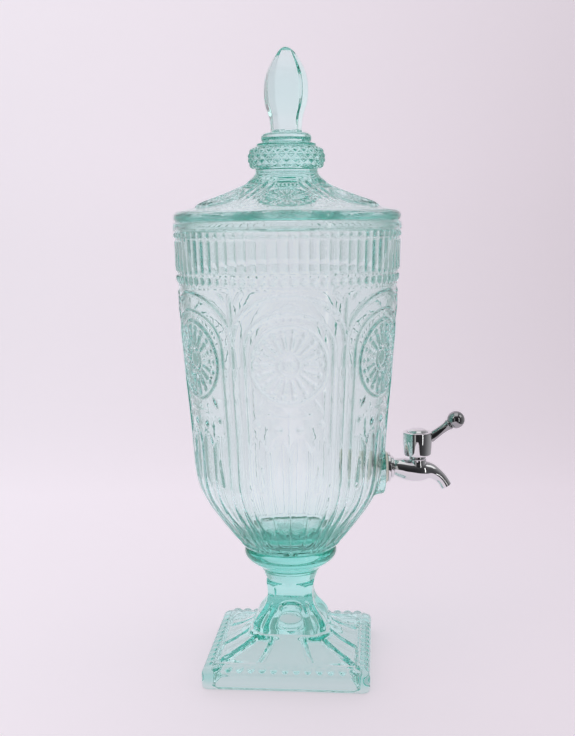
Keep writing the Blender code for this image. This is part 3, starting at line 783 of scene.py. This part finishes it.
def build_tap():
    shank = turned("tap_shank", corners(
        (0, 80.8), (6.0, 80.8), (6.0, 79.4), (7.9, 79.4), (8.3, 79.25), (8.45, 78.9),
        (8.45, 77.7), (8.3, 77.35), (7.9, 77.2), (7.4, 77.2), (7.4, 76.8), (11.0, 76.8),
        (11.4, 76.6), (11.5, 76.2), (11.5, 75.1), (11.4, 74.75), (11.0, 74.6),
        (SHANK_RADIUS, 74.6), (SHANK_RADIUS, 53.8), (7.2, 53.0), (0, 53.0)), CHROME, 96, 1.0,
        (0, 0, TAP_Z), 90.0)
    barrel = sweep("tap_barrel", BARREL, CHROME)
    neck = turned("tap_neck", corners(
        (0, 158.6), (6.4, 158.6), (6.9, 158.1), (6.9, 155.8), (7.6, 154.0), (7.6, 149.0),
        (0, 149.0)), None, 96, 1.0, (VALVE_X, 0, 0))
    boolean(shank, barrel, "UNION")
    boolean(shank, neck, "UNION")
    boolean(shank, sweep("outlet", OUTLET, None), "DIFFERENCE")
    inlet = turned("inlet", corners(
        (0, 97.2), (INLET_RADIUS, 97.2), (INLET_RADIUS, 45), (0, 45)), None, 48, 4.0,
        (0, 0, TAP_Z), 90.0)
    boolean(shank, inlet, "DIFFERENCE")
    chamber = turned("chamber", corners(
        (0, 170), (CHAMBER_RADIUS, 170), (CHAMBER_RADIUS, CHAMBER_FLOOR),
        (0, CHAMBER_FLOOR)), None, 96, 4.0, (VALVE_X, 0, 0))
    boolean(shank, chamber, "DIFFERENCE")
    shank.name = "tap_casting"
    crease(shank, 34)
    finish_piece(shank, "jar", "tap_body")

    gland = hoop("gland_ring", corners(
        (3.3, 161.1), (6.3, 161.1), (6.6, 160.8), (6.6, 159.2), (6.3, 158.9),
        (3.3, 158.9))[1:], CHROME, 96, 0.6, (VALVE_X, 0, 0))
    crease(gland, 34)
    finish_piece(gland, "jar", "gland_nut")

    washer = hoop("outer_seal", [
        (8.3, 74.3), (8.3, 74.3), (11.4, 74.3), (11.9, 74.0), (12.1, 73.3), (11.9, 72.6),
        (11.4, 72.3), (8.3, 72.3), (8.3, 72.3)], SILICONE, 96, 0.4, (0, 0, TAP_Z), 90.0)
    crease(washer, 50)
    finish_piece(washer, "jar", "outer_washer")

    hub = turned("hub_shell", [
        (0, 177.3), (0, 177.3), (8.0, 177.3), (8.0, 177.3), (8.0, 179.2), (8.0, 179.2),
        (8.2, 179.4), (10.4, 179.4), (10.9, 179.2), (11.2, 178.6), (11.2, 178.6),
        (11.15, 172.0), (10.75, 164.0), (10.6, 162.2), (10.6, 162.2), (10.3, 161.6),
        (9.9, 161.4), (9.9, 161.4), (0, 161.4)], CHROME, 128, 0.8, (VALVE_X, 0, 0))
    crease(hub, 34)
    finish_piece(hub, "handle", "handle_hub")

    cap = turned("hub_cap_disc", [
        (0, 181.9), (3.0, 181.8), (5.2, 181.4), (6.8, 180.6), (7.7, 179.7), (7.7, 179.7),
        (7.7, 177.6), (7.7, 177.6), (0, 177.6)], CHROME, 96, 0.6, (VALVE_X, 0, 0))
    crease(cap, 34)
    finish_piece(cap, "handle", "hub_cap")

    tilt = 90.0 - LEVER_TILT
    root = (LEVER_ROOT[0], 0, LEVER_ROOT[1])
    arm = turned("lever_rod", [
        (0, 16.2), (0, 16.2), (3.4, 16.6), (4.0, 16.6), (4.25, 16.0), (4.2, 15.3), (3.8, 14.8),
        (3.8, 14.8), (3.45, 13.4), (3.25, 11.0), (3.2, 8.5), (3.35, 5.0), (3.6, 2.0),
        (3.75, 0.0), (3.8, -2.0), (3.8, -2.0), (0, -2.0)], DARK_CHROME, 96, 0.5, root, tilt)
    crease(arm, 34)
    finish_piece(arm, "handle", "lever_arm")

    ball = [(BALL_RADIUS * math.sin(math.pi * i / 24),
             LEVER_LENGTH + BALL_RADIUS * math.cos(math.pi * i / 24)) for i in range(25)]
    ball[0], ball[-1] = (0, ball[0][1]), (0, ball[-1][1])
    knob = turned("lever_knob", ball, DARK_CHROME, 96, 0.4, root, tilt)
    finish_piece(knob, "handle", "lever_ball")

    for node, material in (
        ("valve_plug", CHROME), ("hub_screw", STEEL), ("backing_washer", STEEL),
        ("inner_washer", SILICONE), ("lock_nut", PLASTIC),
        ("plug_o_ring_lower", RUBBER), ("plug_o_ring_upper", RUBBER),
    ):
        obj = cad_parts[node]
        obj.data.materials.clear()
        obj.data.materials.append(material)


# ---------------------------------------------------------------- stage, light, camera

BOUNCES = 20
CAMERA_PLACE = ((AXIS_X - 0.95) * MM, -0.7641, 0.3357)
CAMERA_DOWN = 7.911       # degrees
CAMERA_ROLL = -0.641
CAMERA_LENS = 49.87
PAPER_FRONT = -0.7
PAPER_BACK = 0.95
PAPER_TOP = 1.9
PAPER_BEND = 0.45         # radius of the curve from floor to wall
PAPER_HALF = 0.32         # half-width under the object
PAPER_SPREAD = 0.34       # how fast the half-width grows backwards
# painted light and shade: the paper is coloured lighter on the left than on the right
PAPER_LIT_LEFT = (0.88, 0.825, 0.89, 1.0)
PAPER_SHADED_RIGHT = (0.73, 0.66, 0.72, 1.0)
PAPER_GLOW = 0.655
# painted light: seen through the glass the paper gives off more light, lightening the glass
PAPER_GLOW_IN_GLASS = 0.785
# painted shade: the paper is coloured darker near the floor than up the wall
PAPER_SHADED_LOW = 0.9
PAPER_LIT_HIGH = 1.05
WORLD_SEEN = (0.72, 0.69, 0.73, 1.0)   # past the paper's edges
# from the camera's side, through a quarter and a half of the way, to behind the object
WORLD_OPEN = (
    (0.02, 0.02, 0.022), (0.09, 0.09, 0.095), (0.26, 0.26, 0.27), (0.5, 0.48, 0.51),
)
WORLD_THROUGH = (          # seen straight through the glass
    (0.66, 0.64, 0.67), (0.6, 0.6, 0.62), (0.36, 0.51, 0.49), (0.54, 0.54, 0.56),
)
WORLD_IN_GLASS = (         # seen after turning back inside thick glass
    (0.07, 0.25, 0.215), (0.12, 0.34, 0.3), (0.24, 0.43, 0.4), (0.5, 0.5, 0.52),
)


def build_stage():
    """Pale floor that widens backwards and curves up into a wall."""
    flat = PAPER_BACK - PAPER_BEND
    line = [(PAPER_FRONT, 0.0), (flat, 0.0)]
    for i in range(1, 13):
        t = math.pi / 2 * i / 12
        line.append((flat + PAPER_BEND * math.sin(t), PAPER_BEND - PAPER_BEND * math.cos(t)))
    line.append((PAPER_BACK, PAPER_TOP))
    verts = [(side * (PAPER_HALF + PAPER_SPREAD * y), y, z)
             for side in (-1, 1) for y, z in line]
    n = len(line)
    faces = [(i, i + 1, n + i + 1, n + i) for i in range(n - 1)]
    mesh = bpy.data.meshes.new("studio_sweep")
    mesh.from_pydata(verts, [], [tuple(reversed(f)) for f in faces])
    mesh.polygons.foreach_set("use_smooth", np.ones(len(faces), bool))
    mat, tree, shader, output = nodes_of("pale_paper")
    shader.inputs["Roughness"].default_value = 0.9
    shader.inputs["Specular IOR Level"].default_value = 0.1
    place = tree.nodes.new("ShaderNodeTexCoord")
    split = tree.nodes.new("ShaderNodeSeparateXYZ")
    tree.links.new(place.outputs["Object"], split.inputs["Vector"])
    fade = tree.nodes.new("ShaderNodeMapRange")
    fade.inputs["From Min"].default_value = -0.5
    fade.inputs["From Max"].default_value = 0.5
    tree.links.new(split.outputs["X"], fade.inputs["Value"])
    # painted light and shade on the paper: lighter to the left and higher up
    tone = tree.nodes.new("ShaderNodeMix")
    tone.data_type = "RGBA"
    tone.inputs["A"].default_value = PAPER_LIT_LEFT
    tone.inputs["B"].default_value = PAPER_SHADED_RIGHT
    tree.links.new(fade.outputs["Result"], tone.inputs["Factor"])
    painted_rise = tree.nodes.new("ShaderNodeMapRange")
    painted_rise.inputs["From Min"].default_value = 0.05
    painted_rise.inputs["From Max"].default_value = 0.75
    painted_rise.inputs["To Min"].default_value = PAPER_SHADED_LOW
    painted_rise.inputs["To Max"].default_value = PAPER_LIT_HIGH
    tree.links.new(split.outputs["Z"], painted_rise.inputs["Value"])
    shade = tree.nodes.new("ShaderNodeMix")
    shade.data_type = "RGBA"
    shade.blend_type = "MULTIPLY"
    shade.inputs["Factor"].default_value = 1.0
    tree.links.new(tone.outputs["Result"], shade.inputs["A"])
    tree.links.new(painted_rise.outputs["Result"], shade.inputs["B"])
    tree.links.new(shade.outputs["Result"], shader.inputs["Base Color"])
    glow = tree.nodes.new("ShaderNodeEmission")
    path = tree.nodes.new("ShaderNodeLightPath")
    # through the glass the paper glows brighter, painted light on the glass
    lift = tree.nodes.new("ShaderNodeMapRange")
    lift.inputs["To Min"].default_value = PAPER_GLOW
    lift.inputs["To Max"].default_value = PAPER_GLOW_IN_GLASS
    tree.links.new(path.outputs["Is Transmission Ray"], lift.inputs["Value"])
    tree.links.new(lift.outputs["Result"], glow.inputs["Strength"])
    tree.links.new(shade.outputs["Result"], glow.inputs["Color"])
    both = tree.nodes.new("ShaderNodeAddShader")
    tree.links.new(shader.outputs["BSDF"], both.inputs[0])
    tree.links.new(glow.outputs["Emission"], both.inputs[1])
    # seen from behind, the paper lets the view through
    side = tree.nodes.new("ShaderNodeNewGeometry")
    clear = tree.nodes.new("ShaderNodeBsdfTransparent")
    seen = tree.nodes.new("ShaderNodeMixShader")
    tree.links.new(side.outputs["Backfacing"], seen.inputs["Fac"])
    tree.links.new(both.outputs["Shader"], seen.inputs[1])
    tree.links.new(clear.outputs["BSDF"], seen.inputs[2])
    tree.links.new(seen.outputs["Shader"], output.inputs["Surface"])
    sweep_obj = add("studio_sweep", mesh, mat)


def area(name, place, target, size, power, colour=(1, 1, 1)):
    """Rectangular light that faces a target and isn't seen by the camera."""
    data = bpy.data.lights.new(name, "AREA")
    data.shape = "RECTANGLE"
    data.size, data.size_y = size
    data.energy = power
    data.color = colour
    obj = bpy.data.objects.new(name, data)
    obj.location = place
    aim = Vector(target) - Vector(place)
    obj.rotation_euler = aim.to_track_quat("-Z", "Y").to_euler()
    obj.visible_camera = False
    bpy.context.scene.collection.objects.link(obj)
    return obj


def build_world():
    """Dark studio round the paper, with other colours for light inside the glass."""
    world = bpy.data.worlds.new("studio")
    world.use_nodes = True
    tree = world.node_tree
    ground = tree.nodes["Background"]
    ground.inputs["Strength"].default_value = 1.0
    place = tree.nodes.new("ShaderNodeTexCoord")
    split = tree.nodes.new("ShaderNodeSeparateXYZ")
    tree.links.new(place.outputs["Generated"], split.inputs["Vector"])
    reach = tree.nodes.new("ShaderNodeMapRange")
    reach.inputs["From Min"].default_value = -1.0
    reach.inputs["From Max"].default_value = 1.0
    tree.links.new(split.outputs["Y"], reach.inputs["Value"])
    path = tree.nodes.new("ShaderNodeLightPath")
    mix = tree.nodes.new("ShaderNodeMix")
    mix.data_type = "RGBA"
    inner = tree.nodes.new("ShaderNodeMix")
    inner.data_type = "RGBA"
    turned_back = tree.nodes.new("ShaderNodeMath")
    turned_back.operation = "GREATER_THAN"
    turned_back.inputs[1].default_value = 0.5
    tree.links.new(path.outputs["Glossy Depth"], turned_back.inputs[0])
    tree.links.new(turned_back.outputs["Value"], inner.inputs["Factor"])
    tree.links.new(inner.outputs["Result"], mix.inputs["B"])
    for socket, colours in (
        (mix.inputs["A"], WORLD_OPEN), (inner.inputs["A"], WORLD_THROUGH),
        (inner.inputs["B"], WORLD_IN_GLASS),
    ):
        fade = tree.nodes.new("ShaderNodeValToRGB")
        marks = fade.color_ramp.elements
        for at, colour in zip((0.22, 0.5), colours[1:3]):
            marks.new(at).color = (*colour, 1.0)
        marks[0].color = (*colours[0], 1.0)
        marks[-1].color = (*colours[3], 1.0)
        tree.links.new(reach.outputs["Result"], fade.inputs["Fac"])
        tree.links.new(fade.outputs["Color"], socket)
    tree.links.new(path.outputs["Is Transmission Ray"], mix.inputs["Factor"])
    open_view = tree.nodes.new("ShaderNodeMix")
    open_view.data_type = "RGBA"
    open_view.inputs["B"].default_value = WORLD_SEEN
    tree.links.new(path.outputs["Is Camera Ray"], open_view.inputs["Factor"])
    tree.links.new(mix.outputs["Result"], open_view.inputs["A"])
    tree.links.new(open_view.outputs["Result"], ground.inputs["Color"])
    bpy.context.scene.world = world


def build_camera():
    """Camera at the photo's place: slightly above the lid's edge, close to the jar."""
    data = bpy.data.cameras.new("photo_camera")
    data.sensor_width = 36.0
    data.lens = CAMERA_LENS
    data.clip_start = 0.02
    data.clip_end = 50.0
    cam = bpy.data.objects.new("photo_camera", data)
    cam.location = CAMERA_PLACE
    look = Matrix.Rotation(math.radians(90.0 - CAMERA_DOWN), 3, "X")
    roll = Matrix.Rotation(math.radians(CAMERA_ROLL), 3, "Z")
    cam.rotation_euler = (look @ roll).to_euler()
    bpy.context.scene.collection.objects.link(cam)
    bpy.context.scene.camera = cam


build_bowl()
build_lid()
build_foot()
build_tap()
build_stage()
build_world()
area("key", (-1.15, -0.75, 1.35), (-0.02, 0, 0.22), (0.9, 0.9), 3.2, (1.0, 0.99, 0.98))
area("side", (0.92, -0.15, 0.87), (0.07, 0, 0.18), (0.45, 0.45), 0.5)
for light in (
    area("strip_left", (-0.5, -1.25, 0.1), (0, 0, 0.1), (0.22, 1.5), 0.4),
    area("strip_right", (0.78, -0.98, 0.3), (0.07, 0, 0.1), (0.06, 1.0), 0.6),
    area("top", (0.0, -0.3, 1.7), (0, -0.3, 0), (1.4, 1.4), 4.0, (1.0, 0.99, 1.0)),
):
    light.visible_transmission = False
build_camera()

# glass on glass needs many turns of a ray
scene = bpy.context.scene
scene.view_settings.view_transform = "Standard"
scene.cycles.max_bounces = BOUNCES
scene.cycles.glossy_bounces = BOUNCES
scene.cycles.transmission_bounces = BOUNCES
scene.cycles.transparent_max_bounces = 24
scene.cycles.caustics_reflective = False
scene.cycles.caustics_refractive = False
